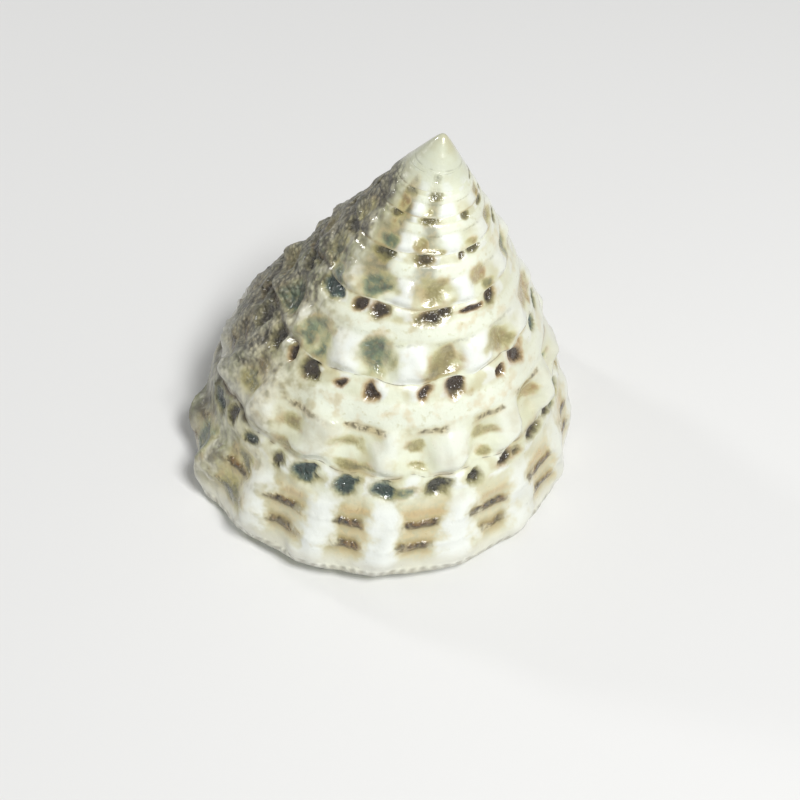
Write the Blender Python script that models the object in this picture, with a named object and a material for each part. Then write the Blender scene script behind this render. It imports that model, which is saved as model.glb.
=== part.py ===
"""A top shell (family Trochidae): one closed solid, resting on the rim of its last whorl.

The shell is drawn in its own coiling frame first: the apex at the origin, the coiling axis down -Z.
`turn` counts whole turns back from the outer lip (0 at the lip, about 6 at the first whorls), and a
whorl's side runs from `row` 0 at its upper suture to `row` 1 at its rim. The coil is right-handed:
seen from the apex it grows clockwise. At the end the shell leans over to lie as it rests.
"""

import math

import bmesh
import bpy
from mathutils import Matrix, Vector

# Driving sizes, in metres.
LIP_RADIUS = 0.0186  # coiling axis to the rim, at the outer lip
LIP_DEPTH = 0.0374  # apex to the rim at the outer lip, along the coiling axis
DOME = 0.464  # how much faster the spire widens than a straight cone would
DOME_POWER = 1.89  # how late the sides turn steep
TIP_RADIUS = 0.00020  # of the blunt tip
TIP_SHARE = 0.03  # share of the depth over which it blends into the cone

# Growth, in natural logarithms for each turn.
BODY_GROWTH = 0.339  # over the last whorl
SPIRE_GROWTH = 0.385  # over the whorls before it
BODY_TURNS = 1.2  # where the one gives way to the other
GROWTH_SOFTNESS = 0.15
TOP_TURN = 5.4  # the coil above this turn is one smooth tip

# The outer lip.
LIP_AZIMUTH = math.radians(200)  # where the rim meets the lip, seen from above
LIP_SLANT = 0.09  # turns by which the lip leans forward at its suture
SLANT_FADE = 0.25  # turns over which the whorl before loses that lean
BASE_LIP_BOW = 0.03  # turns by which the lower lip is set back at its middle

# Relief of the last whorl, in metres; the whorls before it carry the same, smaller with their size.
SUTURE_DEPTH = 0.00045
SUTURE_WIDTH = 0.060  # in rows, below the suture
OVERHANG_WIDTH = 0.035  # in rows, above the suture
BAND_HEIGHT = 0.00016  # the smooth cord below the pits
PIT_DEPTH = 0.00022
FOLD_HEIGHT = 0.00052
RIM_SWELL = 0.00018
SPIRE_FOLDS = 9.0  # folds in one turn of the spire
BODY_FOLDS = 16.9  # folds in one turn near the lip
FOLD_CHANGE = 1.9  # turns back from the lip where the folds change in number
FOLD_SOFTNESS = 0.46  # turns over which they do
FOLD_START = -0.25  # folds passed at the lip itself
SMOOTH_TURN = 4.6  # the whorls above this turn have no folds
LIP_TURNS = 0.18  # the stretch behind the lip where the relief is coarser
LIP_FOLD = 0.00026  # how much higher its folds stand
LIP_NOTCH = 0.00038  # how much lower the gaps between them lie
LIP_HOLLOW = 0.00016  # depth of its hollow under the suture

# The base and its pillar.
PILLAR_DEPTH = 0.0344  # apex to the foot of the columella
RIM_DROP = 0.00075  # how far the base hangs below the edge of the side
RIM_ROUND = 0.035  # share of the radius over which it does
PILLAR_ROW = 0.80  # base row where the columella's foot begins
FLAT_BASE_POWER = 1.0  # how late the base turns down to the pillar, at the lip
PARIETAL_POWER = 5.0  # and one turn before it

# The living chamber, each section a shrunken copy of the whorl's own.
RIM_SHARE = 0.93
CHAMBER_SHARE = 0.80
LIP_TAPER = 0.15  # turns over which the wall thickens from the lip
CHAMBER_TURNS = 0.75
CHAMBER_RINGS = 24
CHAMBER_SMOOTHING = 4

# How the shell lies: its axis leans this way and this much, and the rim is rubbed flat underneath.
LEAN = math.radians(10.4)
LEAN_AZIMUTH = math.radians(42.2)
RUBBED = 0.00020

# How finely the surface is divided.
STEPS = 85  # in one turn
SIDE_ROWS = (0.0, 0.06, 0.16, 0.28, 0.46, 0.68, 0.88, 1.0)
BASE_ROWS = (0.0, 0.03, 0.10, 0.24, 0.44, 0.64, PILLAR_ROW, 1.0)
TIP_RINGS = (1.0, 0.58, 0.26, 0.0)
WELD = 2e-7

CREAM = (0.80, 0.78, 0.66, 1.0)


def smooth(start, end, value):
    """0 before start, 1 after end, and an S-curve between them."""
    t = min(1.0, max(0.0, (value - start) / (end - start)))
    return t * t * (3 - 2 * t)


def mix(a, b, share):
    return a + (b - a) * share


def bump(value, centre, width):
    return math.exp(-(((value - centre) / width) ** 2))


# Growth -------------------------------------------------------------------------------------------


def size_at(turn):
    """Share of the full depth that the shell had reached at this turn."""
    early = GROWTH_SOFTNESS * math.log1p(math.exp((turn - BODY_TURNS) / GROWTH_SOFTNESS))
    return math.exp(-BODY_GROWTH * turn - (SPIRE_GROWTH - BODY_GROWTH) * early)


def cone_at_share(share):
    """(radius, depth) of the smooth outline at a share of its depth."""
    radius = LIP_RADIUS * share * (1 + DOME * (1 - share**DOME_POWER))
    tip = TIP_RADIUS * (1 - math.exp(-share / TIP_SHARE)) * (1 - share)
    return Vector((radius + tip, LIP_DEPTH * share))


def cone(turn):
    return cone_at_share(size_at(turn))


def outward(turn):
    """The outline's outward normal, as (radius, depth)."""
    share = size_at(turn)
    along = cone_at_share(share * 1.01) - cone_at_share(share * 0.99)
    return Vector((along.y, -along.x)).normalized()


def lip_lean(count):
    """Turns by which a suture point is drawn forward, `count` steps' turns back from the lip."""
    if count < 1:
        return LIP_SLANT * smooth(0, 1, count)
    return LIP_SLANT * (1 - smooth(1, 1 + SLANT_FADE, count))


def rim_turn(count):
    """The turn of the rim point that lies `count` turns of steps back from the lip."""
    return count - lip_lean(count)


def side_turn(count, row):
    return mix(rim_turn(count + 1) - 1, rim_turn(count), row)


def placed(turn, section):
    """A point of the coil, from its turn and its (radius, depth)."""
    angle = LIP_AZIMUTH + 2 * math.pi * turn
    return Vector((section.x * math.cos(angle), section.x * math.sin(angle), -section.y))


# Relief -------------------------------------------------------------------------------------------


def fold_count(turn):
    """Folds passed since the lip: their number in a turn falls from the body whorl to the spire."""
    lip = math.log1p(math.exp(-FOLD_CHANGE / FOLD_SOFTNESS))
    here = math.log1p(math.exp((turn - FOLD_CHANGE) / FOLD_SOFTNESS))
    change = FOLD_SOFTNESS * (here - lip)
    return FOLD_START + BODY_FOLDS * turn - (BODY_FOLDS - SPIRE_FOLDS) * change


def under_next_whorl(turn):
    """1 where a rim is covered by the whorl that came after it, 0 where it is the shell's edge."""
    return smooth(1 - LIP_SLANT - 0.05, 1 - LIP_SLANT, turn)


def relief(turn, row):
    """Height of the side above the smooth cone, in metres."""
    level = turn + 1 - row
    carved = 1 - smooth(SMOOTH_TURN - 0.8, SMOOTH_TURN, turn)
    fold = (0.5 + 0.5 * math.cos(2 * math.pi * fold_count(turn))) ** 1.4
    small_knob = 0.5 + 0.5 * math.cos(3 * math.pi * fold_count(turn))
    body = 1 - smooth(0.95, 1.25, turn)
    covered = under_next_whorl(turn)
    start = mix(0.50, 0.22, body)
    folded = smooth(start, start + 0.25, row) * (1 - covered * smooth(0.93, 1.0, row))
    band = smooth(0.22, 0.28, row) * (1 - smooth(0.44, 0.52, row)) * (1 - body)
    height = BAND_HEIGHT * band * carved
    height += FOLD_HEIGHT * fold * folded * carved
    near_lip = 1 - smooth(0, LIP_TURNS, turn)
    height += (LIP_FOLD * fold - LIP_NOTCH * (1 - fold)) * folded * near_lip
    height -= LIP_HOLLOW * bump(row, 0.3, 0.2) * smooth(0, 0.06, row) * near_lip
    height += RIM_SWELL * bump(row, 0.86, 0.14) * carved * (1 - smooth(0.9, 1.0, row) * covered)
    height -= PIT_DEPTH * bump(row, 0.12, 0.06) * smooth(0, 0.06, row) * (1 - small_knob) * carved
    upper_groove = bump(row, 0, SUTURE_WIDTH) * under_next_whorl(turn + 1)
    lower_groove = bump(row, 1, OVERHANG_WIDTH) * covered
    height -= SUTURE_DEPTH * max(upper_groove, lower_groove) * (1 - smooth(4.4, TOP_TURN, level))
    return height * size_at(level)


# Surfaces -----------------------------------------------------------------------------------------


def side_point(count, row):
    turn = side_turn(count, row)
    top = min(turn + 1, TOP_TURN)
    height = top + (turn - top) * row
    section = cone(height) + outward(height) * relief(turn, row)
    return placed(turn, section)


def tip_point(count, ring):
    return placed(count, cone_at_share(size_at(TOP_TURN) * ring))


def base_section(turn, row):
    """(radius, depth) of the base, from the rim (row 0) to the coiling axis (row 1)."""
    rim = cone(turn)
    power = mix(FLAT_BASE_POWER, PARIETAL_POWER, smooth(0, 1, turn))
    drop = RIM_DROP * size_at(turn) * (1 - math.exp(-row / RIM_ROUND)) * (1 - row)
    return Vector((rim.x * (1 - row), mix(rim.y, PILLAR_DEPTH, row**power) + drop))


def base_turn(count, row):
    bow = BASE_LIP_BOW * math.sin(math.pi * row) * (1 - smooth(0, 0.3, count))
    return rim_turn(count) + bow


def base_point(count, row):
    turn = base_turn(count, row)
    edge = side_point(count, 1.0) - placed(turn, cone(turn))
    return placed(turn, base_section(turn, row)) + edge * (1 - smooth(0, 0.12, row))


# The chamber --------------------------------------------------------------------------------------


def whorl_loop():
    """The stations round a whorl's section, each a kind and a place along it, from the suture
    down the side, along the base to the pillar, and back along the whorl before."""
    stations = [("side", row) for row in SIDE_ROWS]
    stations += [("base", row) for row in BASE_ROWS[1:]]
    stations += [("ceiling", row) for row in BASE_ROWS[-2::-1]]
    return stations


def outer_loop_point(kind, row):
    """A point of the lip's outer edge, or of the base just in front of the mouth."""
    if kind == "side":
        return side_point(0, row)
    return base_point(0 if kind == "base" else 1, row)


def loop_turn(kind, row):
    if kind == "side":
        return side_turn(0, row)
    if row > PILLAR_ROW:
        return mix(base_turn(0, PILLAR_ROW), base_turn(1, PILLAR_ROW) - 1, pillar_share(kind, row))
    return base_turn(0, row) if kind == "base" else base_turn(1, row) - 1


def pillar_share(kind, row):
    """How far up the pillar a station beyond its foot lies."""
    beyond = (row - PILLAR_ROW) / (1 - PILLAR_ROW) / 2
    return beyond if kind == "base" else 1 - beyond


def whorl_section(turn, kind, row):
    if kind == "side":
        return cone(turn + 1 - row)
    if row > PILLAR_ROW:
        foot = base_section(turn, PILLAR_ROW)
        return mix(foot, base_section(turn + 1, PILLAR_ROW), pillar_share(kind, row))
    return base_section(turn if kind == "base" else turn + 1, row)


def whorl_centre(turn):
    corners = [cone(turn), cone(turn + 1)]
    corners += [base_section(turn, PILLAR_ROW), base_section(turn + 1, PILLAR_ROW)]
    return sum(corners, Vector((0, 0))) / len(corners)


def chamber_ring(depth):
    """The points round the chamber, `depth` turns in from the lip."""
    share = mix(RIM_SHARE, CHAMBER_SHARE, smooth(0, LIP_TAPER, depth))
    stations = whorl_loop()[:-1]
    turns = [loop_turn(kind, row) + depth for kind, row in stations]
    sections = []
    for turn, (kind, row) in zip(turns, stations):
        centre = whorl_centre(turn)
        sections.append(centre + (whorl_section(turn, kind, row) - centre) * share)
    for _ in range(CHAMBER_SMOOTHING):
        after = sections[1:] + sections[:1]
        sections = [(a + 2 * b + c) / 4 for a, b, c in zip(sections[-1:] + sections, sections, after)]
    return [placed(turn, section) for turn, section in zip(turns, sections)]


def chamber_rows():
    """Every ring of the chamber, with the lip's outer edge first and its closed end last."""
    outer = [outer_loop_point(kind, row) for kind, row in whorl_loop()[:-1]]
    depths = [CHAMBER_TURNS * step / CHAMBER_RINGS for step in range(CHAMBER_RINGS + 1)]
    rings = [chamber_ring(depth) for depth in depths]
    end = sum(rings[-1], Vector()) / len(rings[-1])
    return [outer, *rings, [end] * len(outer)]


# Building -----------------------------------------------------------------------------------------


def add_sheet(mesh, columns, rows, point):
    """A grid of faces whose corner in (column, row) lies at point(column, row)."""
    made = bmesh.ops.create_grid(mesh, x_segments=columns, y_segments=rows, size=1)
    for vertex in made["verts"]:
        column = round((vertex.co.x + 1) / 2 * columns)
        row = round((vertex.co.y + 1) / 2 * rows)
        vertex.co = point(column, row)


def coil(mesh):
    """All four surfaces of the shell, welded into one closed mesh in the coiling frame."""
    side_steps = round(STEPS * TOP_TURN)
    add_sheet(
        mesh,
        side_steps,
        len(SIDE_ROWS) - 1,
        lambda step, row: side_point(step / STEPS, SIDE_ROWS[row]),
    )
    add_sheet(
        mesh,
        STEPS,
        len(TIP_RINGS) - 1,
        lambda step, ring: tip_point(step / STEPS, TIP_RINGS[ring]),
    )
    add_sheet(
        mesh,
        STEPS,
        len(BASE_ROWS) - 1,
        lambda step, row: base_point(step / STEPS, BASE_ROWS[row]),
    )
    rings = chamber_rows()
    round_mouth = len(rings[0])
    add_sheet(
        mesh,
        round_mouth,
        len(rings) - 1,
        lambda station, ring: rings[ring][station % round_mouth],
    )
    bmesh.ops.remove_doubles(mesh, verts=mesh.verts, dist=WELD)
    bmesh.ops.dissolve_degenerate(mesh, edges=mesh.edges, dist=WELD)


def lay_down(mesh):
    """Leans the shell over, sets it on the ground, rubs its rim flat and centres it."""
    axis = Vector((-math.sin(LEAN_AZIMUTH), math.cos(LEAN_AZIMUTH), 0))
    bmesh.ops.transform(mesh, matrix=Matrix.Rotation(LEAN, 4, axis), verts=mesh.verts)
    floor = min(vertex.co.z for vertex in mesh.verts) + RUBBED
    cut = bmesh.ops.bisect_plane(
        mesh,
        geom=[*mesh.verts, *mesh.edges, *mesh.faces],
        plane_co=(0, 0, floor),
        plane_no=(0, 0, -1),
        clear_outer=True,
    )
    edges = [part for part in cut["geom_cut"] if isinstance(part, bmesh.types.BMEdge)]
    bmesh.ops.holes_fill(mesh, edges=edges)
    low = [min(vertex.co[axis] for vertex in mesh.verts) for axis in range(3)]
    high = [max(vertex.co[axis] for vertex in mesh.verts) for axis in range(3)]
    middle = Vector(((low[0] + high[0]) / 2, (low[1] + high[1]) / 2, floor))
    bmesh.ops.translate(mesh, vec=-middle, verts=mesh.verts)
    bmesh.ops.triangulate(mesh, faces=mesh.faces)
    bmesh.ops.recalc_face_normals(mesh, faces=mesh.faces)


def shell_material():
    material = bpy.data.materials.new("cream_shell")
    material.use_nodes = True
    surface = material.node_tree.nodes["Principled BSDF"]
    surface.inputs["Base Color"].default_value = CREAM
    surface.inputs["Roughness"].default_value = 0.35
    surface.inputs["Metallic"].default_value = 0.0
    return material


def build_shell(collection):
    mesh = bmesh.new()
    coil(mesh)
    lay_down(mesh)
    data = bpy.data.meshes.new("shell")
    mesh.to_mesh(data)
    mesh.free()
    data.materials.append(shell_material())
    data.shade_smooth()
    data.set_sharp_from_angle(angle=math.radians(40))
    collection.objects.link(bpy.data.objects.new("shell", data))


for old in list(bpy.data.objects):
    bpy.data.objects.remove(old)
top_shell = bpy.data.collections.new("top_shell")
bpy.context.scene.collection.children.link(top_shell)
build_shell(top_shell)
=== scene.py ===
"""A small trochid top shell, lying on its rim: its looks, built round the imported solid.

The shell is drawn in its own coiling frame first: the apex at the origin, the coiling axis down -Z.
`turn` counts whole turns back from the outer lip, and a whorl's side runs from `row` 0 at its upper
suture to `row` 1 at its rim. The coil is right-handed: seen from the apex it grows clockwise. The
file is laid out as an add-on, and is run as a script.
"""

import math

import bpy
import numpy as np
from mathutils import Matrix, Vector, noise


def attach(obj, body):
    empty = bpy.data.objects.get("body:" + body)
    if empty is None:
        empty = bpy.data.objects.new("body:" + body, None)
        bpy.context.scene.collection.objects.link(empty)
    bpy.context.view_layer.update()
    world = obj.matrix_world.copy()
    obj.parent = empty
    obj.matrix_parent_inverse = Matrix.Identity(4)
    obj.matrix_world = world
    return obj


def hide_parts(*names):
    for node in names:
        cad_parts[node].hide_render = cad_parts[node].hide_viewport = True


bl_info = {
    "name": "Top Shell",
    "version": (1, 0, 0),
    "blender": (4, 5, 0),
    "location": "3D View > Sidebar > Top Shell",
    "description": "A knobbed, pitted top shell with a pearly mouth, on a plain stage",
    "category": "Add Mesh",
}

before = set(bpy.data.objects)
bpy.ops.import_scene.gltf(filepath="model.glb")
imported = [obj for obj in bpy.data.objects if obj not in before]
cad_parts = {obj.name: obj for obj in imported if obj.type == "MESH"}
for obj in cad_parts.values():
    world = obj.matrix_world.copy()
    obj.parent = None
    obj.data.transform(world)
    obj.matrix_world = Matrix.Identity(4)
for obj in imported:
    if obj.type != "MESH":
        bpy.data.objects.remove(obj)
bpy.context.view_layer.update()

# Driving sizes of the coil, in metres, the same as the solid's.
LIP_RADIUS = 0.0186  # coiling axis to the rim, at the outer lip
LIP_DEPTH = 0.0374  # apex to the rim at the outer lip, along the coiling axis
DOME = 0.464  # how much faster the spire widens than a straight cone would
DOME_POWER = 1.89  # how late the sides turn steep
TIP_RADIUS = 0.00020  # of the solid's blunt tip
TIP_SHARE = 0.03  # share of the depth over which it blends into the cone
TIP_BLUNT = 0.00040  # how far the worn tip is rounded beyond that

# Growth, in natural logarithms for each turn.
BODY_GROWTH = 0.339
SPIRE_GROWTH = 0.385
BODY_TURNS = 1.2
GROWTH_SOFTNESS = 0.15
TOP_TURN = 7.4  # the coil above this turn is one smooth tip

# The outer lip.
LIP_AZIMUTH = math.radians(200)
LIP_SLANT = 0.09  # turns by which the lip leans forward at its suture
SLANT_FADE = 0.25
BASE_LIP_BOW = 0.03

# Relief of the last whorl, in metres; the whorls before it carry the same, smaller with their size.
SPIRE_FOLDS = 9.0
BODY_FOLDS = 16.9
FOLD_CHANGE = 1.9
FOLD_SOFTNESS = 0.46
FOLD_START = -0.25
CROWDED_TURN = 0.2125  # two folds of the last whorl stand a little closer than the rest
CROWDING = 0.16
CROWDED_WIDTH = 0.055
BEADS = 8.0  # beads in one fold's width, along every cord
EDGE_BEADS = 7.0  # and along the rim's edge
UPPER_BEADS, LOWER_BEADS = 0.485, 0.705  # rows of the dark beads
SMOOTH_TURN = 6.6  # the relief fades towards this turn
LIP_TURNS = 0.18
LIP_FOLD = 0.00026
LIP_NOTCH = 0.00038
LIP_HOLLOW = 0.00046
LIP_KNOB = 0.00050
RIM_SWELL = 0.00010
SLOW_GRAIN, LUMP_GRAIN, KNOT_GRAIN, GRIT_GRAIN = 170, 420, 760, 1500  # waves in a metre
EDGE_KNOTS = 0.00010  # height of the small knots at the rim
PIT_RING = 0.00006  # height of the ring round a pit
SMALL_KNOBS = 0.00018  # height of the knobs under a suture
SLOW_SWELL = 0.00022  # height of the broad unevenness
STAINED_AZIMUTH = math.radians(165)  # the middle of the duller, rougher side
WORN_SIDE = 0.0018  # how far the stained side is worn down
SUTURE_WIDTH = 0.045
OVERHANG_WIDTH = 0.045
SUTURE_WAVE = 0.034  # turns of spiral by which a fold pushes the suture below it down
BEADED_CORDS = ((0.36, 0.5), (0.48, 1.0), (0.70, 1.0), (0.86, 0.5))  # row, share of full height

# The dark marks of the side that shows most: where each has its middle, half its width and half its
# height, in turns and rows, and its tint, 0 brown, 0.5 olive, 1 blue-green. A pit is a dark mark
# that is also sunk. The far side carries the same kinds, strewn by rule.
SHOWN_FROM, SHOWN_TO = -0.07, 0.385
MARKED_TURNS = 5.6  # the strewn marks of the far side end at this turn
PITS = (
    *((-0.012, 0.14, 0.010, 0.099, 0.8), (0.018, 0.13, 0.007, 0.066, 0.5)),
    *((0.049, 0.13, 0.008, 0.083, 0.7), (0.082, 0.13, 0.006, 0.072, 0.5)),
    *((0.108, 0.13, 0.011, 0.090, 0.9), (0.145, 0.13, 0.008, 0.085, 0.9)),
    *((0.180, 0.12, 0.010, 0.085, 0.9), (0.226, 0.12, 0.009, 0.085, 0.6)),
    *((0.263, 0.13, 0.006, 0.060, 0.5), (0.302, 0.10, 0.013, 0.061, 0.3)),
    *((0.345, 0.08, 0.015, 0.061, 0.4), (0.372, 0.07, 0.008, 0.044, 0.4)),
    *((0.965, 0.14, 0.014, 0.135, 0.5), (1.012, 0.12, 0.012, 0.135, 0.5)),
    *((1.044, 0.12, 0.007, 0.075, 0.2), (1.076, 0.12, 0.013, 0.149, 0.4)),
    *((1.112, 0.14, 0.007, 0.057, 0.0), (1.149, 0.11, 0.009, 0.092, 0.1)),
    *((1.207, 0.12, 0.008, 0.086, 0.0), (1.243, 0.11, 0.012, 0.115, 0.2)),
    *((1.305, 0.15, 0.006, 0.052, 0.0), (1.337, 0.11, 0.013, 0.098, 0.1)),
    *((1.950, 0.12, 0.017, 0.139, 0.6), (2.038, 0.11, 0.021, 0.154, 0.9)),
    *((2.095, 0.12, 0.010, 0.105, 0.2), (2.128, 0.12, 0.014, 0.112, 0.3)),
    *((2.207, 0.11, 0.024, 0.140, 0.3), (2.275, 0.13, 0.023, 0.042, 0.0)),
    *((2.319, 0.10, 0.015, 0.126, 0.3), (2.975, 0.11, 0.024, 0.140, 0.5)),
    *((3.094, 0.10, 0.023, 0.140, 0.6), (3.187, 0.10, 0.021, 0.126, 0.3)),
    *((3.268, 0.10, 0.007, 0.084, 0.3), (3.303, 0.06, 0.017, 0.084, 0.4)),
    *((4.075, 0.10, 0.020, 0.140, 0.5), (4.178, 0.08, 0.021, 0.140, 0.4)),
    *((4.300, 0.10, 0.014, 0.112, 0.4), (5.085, 0.15, 0.023, 0.196, 0.3)),
    *((5.190, 0.20, 0.025, 0.224, 0.5), (6.190, 0.20, 0.024, 0.280, 0.5)),
)
BLOTCHES = (
    *((-0.002, 0.62, 0.012, 0.22, 0.8), (0.050, 0.36, 0.012, 0.07, 0.6)),
    (0.197, 0.16, 0.010, 0.05, 0.8),
    *((0.052, 0.70, 0.013, 0.10, 0.6), (1.020, 0.70, 0.016, 0.09, 0.6)),
    *((1.083, 0.71, 0.014, 0.070, 0.4), (1.142, 0.71, 0.012, 0.055, 0.4)),
    *((1.205, 0.70, 0.011, 0.055, 0.4), (1.276, 0.70, 0.012, 0.055, 0.3)),
    *((1.347, 0.68, 0.012, 0.050, 0.1), (1.085, 0.93, 0.015, 0.040, 0.4)),
    *((1.143, 0.93, 0.014, 0.035, 0.5), (1.207, 0.92, 0.010, 0.035, 0.4)),
    *((1.278, 0.93, 0.012, 0.035, 0.4), (1.985, 0.72, 0.021, 0.20, 1.0)),
    *((2.058, 0.78, 0.020, 0.19, 0.9), (2.142, 0.72, 0.022, 0.20, 0.8)),
    *((2.230, 0.78, 0.020, 0.20, 0.4), (2.315, 0.76, 0.022, 0.17, 0.3)),
    *((2.335, 0.88, 0.012, 0.07, 0.4), (2.415, 0.72, 0.016, 0.14, 0.4)),
    *((2.980, 0.62, 0.020, 0.22, 0.6), (3.034, 0.88, 0.018, 0.12, 0.9)),
    *((3.107, 0.76, 0.026, 0.20, 0.8), (3.207, 0.75, 0.025, 0.22, 0.4)),
    *((3.300, 0.66, 0.018, 0.18, 0.1), (3.318, 0.92, 0.013, 0.09, 0.6)),
    *((3.965, 0.60, 0.022, 0.26, 0.5), (4.090, 0.35, 0.014, 0.34, 0.0)),
    *((4.090, 0.82, 0.026, 0.17, 0.8), (4.168, 0.74, 0.012, 0.13, 0.3)),
    *((4.210, 0.94, 0.014, 0.06, 0.5), (4.303, 0.90, 0.015, 0.10, 0.3)),
    *((4.402, 0.78, 0.010, 0.10, 0.5), (5.080, 0.55, 0.014, 0.45, 0.1)),
    *((5.180, 0.80, 0.012, 0.15, 0.4), (6.080, 0.70, 0.020, 0.35, 0.2)),
)

# The base and its pillar.
PILLAR_DEPTH = 0.0344
RIM_DROP = 0.00075
RIM_ROUND = 0.035
PILLAR_ROW = 0.80
FLAT_BASE_POWER = 1.0
PARIETAL_POWER = 5.0
BASE_CORDS = 9  # low cords that run round the base

# The living chamber.
RIM_SHARE = 0.93
CHAMBER_SHARE = 0.80
LIP_TAPER = 0.15
CHAMBER_TURNS = 0.75
CHAMBER_RINGS = 48
CHAMBER_SMOOTHING = 24

# How the shell lies.
LEAN = math.radians(10.4)
LEAN_AZIMUTH = math.radians(42.2)
APEX = Vector((0.0042854, 0.0045763, 0.0341370))

# How finely the surface is divided.
STEPS = 360
SIDE_ROWS = (
    *(0.0, 0.012, 0.03, 0.055, 0.085, 0.115, 0.145, 0.175, 0.21, 0.25, 0.29, 0.33, 0.37, 0.415),
    *(0.46, 0.505, 0.55, 0.60, 0.65, 0.70, 0.75, 0.80, 0.85, 0.895, 0.935, 0.965, 0.985, 1.0),
)
BASE_ROWS = (
    *(0.0, 0.012, 0.03, 0.06, 0.10, 0.15, 0.20, 0.26, 0.32, 0.38, 0.44, 0.50, 0.56, 0.62),
    *(0.68, 0.74, PILLAR_ROW, 0.86, 0.93, 1.0),
)
TIP_RINGS = (1.0, 0.8, 0.6, 0.42, 0.26, 0.12, 0.04, 0.0)
FIELDS = ("folds", "pit", "pit_tint", "blotch", "tint", "shade", "dip")  # what the paint reads from the mesh
WELD = 2e-7
SHARP_ANGLE = math.radians(70)
BUMP_DISTANCE = 0.001

# The camera, in metres: where it stands, and which ways its right and its top point.
CAMERA_PLACE = Vector((-0.002624, -0.074496, 0.107150))
CAMERA_RIGHT = Vector((0.99950, -0.02121, 0.02351))
CAMERA_UP = Vector((0.00344, 0.81078, 0.58533))
CAMERA_LENS = 59.1  # millimetres, on a sensor 36 mm wide


# Shapes ----------------------------------------------------


def smooth(start, end, value):
    """0 before start, 1 after end, and an S-curve between them."""
    t = np.clip((value - start) / (end - start), 0, 1)
    return t * t * (3 - 2 * t)


def mix(a, b, share):
    return a + (b - a) * share


def bump(value, centre, width):
    return np.exp(-(((value - centre) / width) ** 2))


def size_at(turn):
    """Share of the full depth that the shell had reached at this turn."""
    early = GROWTH_SOFTNESS * np.logaddexp(0, (turn - BODY_TURNS) / GROWTH_SOFTNESS)
    return np.exp(-BODY_GROWTH * turn - (SPIRE_GROWTH - BODY_GROWTH) * early)


def cone_at_share(share):
    """(radius, depth) of the smooth outline at a share of its depth."""
    radius = LIP_RADIUS * share * (1 + DOME * (1 - share**DOME_POWER))
    radius = radius + TIP_RADIUS * (1 - np.exp(-share / TIP_SHARE)) * (1 - share)
    rounded = np.sqrt(radius**2 + 2 * TIP_BLUNT * radius)
    radius = rounded - TIP_BLUNT * radius / (radius + 3 * TIP_BLUNT)
    return np.stack([radius, LIP_DEPTH * share], -1)


def cone(turn):
    return cone_at_share(size_at(turn))


def outward(turn):
    """The outline's outward normal, as (radius, depth)."""
    share = size_at(turn)
    along = cone_at_share(share * 1.01) - cone_at_share(share * 0.99)
    normal = np.stack([along[..., 1], -along[..., 0]], -1)
    return normal / np.linalg.norm(normal, axis=-1, keepdims=True)


def lip_lean(count):
    """Turns by which a suture point is drawn forward, `count` steps' turns back from the lip."""
    after = LIP_SLANT * (1 - smooth(1, 1 + SLANT_FADE, count))
    return np.where(count < 1, LIP_SLANT * smooth(0, 1, count), after)


def rim_turn(count):
    return count - lip_lean(count)


def side_turn(count, row):
    return mix(rim_turn(count + 1) - 1, rim_turn(count), row)


def placed(turn, section):
    """Points of the coil, from their turns and their (radius, depth)."""
    angle = LIP_AZIMUTH + 2 * math.pi * turn
    radius, depth = section[..., 0], section[..., 1]
    return np.stack([radius * np.cos(angle), radius * np.sin(angle), -depth], -1)


def grain(points, per_metre, octaves=2):
    """Smooth noise of about -1 to 1 at these points."""
    flat = points.reshape(-1, 3) * per_metre
    values = [noise.fractal(Vector(point), 1.0, 2.1, octaves) for point in flat]
    return np.array(values).reshape(points.shape[:-1])


# Relief ----------------------------------------------------


def fold_count(turn):
    """Folds passed since the lip: their number in a turn falls from the body whorl to the spire."""
    lip = np.logaddexp(0, -FOLD_CHANGE / FOLD_SOFTNESS)
    here = np.logaddexp(0, (turn - FOLD_CHANGE) / FOLD_SOFTNESS)
    change = FOLD_SOFTNESS * (here - lip)
    crowded = CROWDING * bump(turn, CROWDED_TURN, CROWDED_WIDTH)
    return FOLD_START + BODY_FOLDS * turn - (BODY_FOLDS - SPIRE_FOLDS) * change + crowded


def under_next_whorl(turn):
    """1 where a rim is covered by the whorl that came after it, 0 where it is the shell's edge."""
    return smooth(1 - LIP_SLANT - 0.05, 1 - LIP_SLANT, turn)


def fold_wave(turn):
    """1 on the crest of a fold, 0 half-way to the next."""
    return 0.5 + 0.5 * np.cos(2 * math.pi * fold_count(turn))


def turn_at(count):
    """The turn at which this many folds have passed."""
    turns = np.linspace(-1, TOP_TURN + 1, 4000)
    return np.interp(count, fold_count(turns), turns)


def strewn_marks():
    """(pits, blotches) with those of the far side added to those that show."""
    chance = np.random.default_rng(11)
    pits, blotches = list(PITS), list(BLOTCHES)
    for step in range(3 * round(float(fold_count(MARKED_TURNS)))):
        count = (step + 0.5) * 2 / 3
        turn = float(turn_at(count))
        width, tall, tint, keep = chance.random(4)
        if not SHOWN_TO < (turn - SHOWN_FROM) % 1 + SHOWN_FROM or turn > MARKED_TURNS:
            continue
        fold = float(turn_at(count + 1)) - turn
        if keep > 0.12:
            pits.append((turn, 0.12, fold * mix(0.12, 0.26, width), mix(0.06, 0.10, tall), tint))
        middle = float(turn_at(math.floor(count) + 0.5))
        if turn > 0.95 and step % 3 != 1:
            low = mix(0.06, 0.19, smooth(1.7, 2.0, turn))
            half = fold * mix(0.20, 0.30, tall)
            blotches.append((middle, 0.72, half, low * mix(0.8, 1.1, width), tint))
    return pits, blotches


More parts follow.
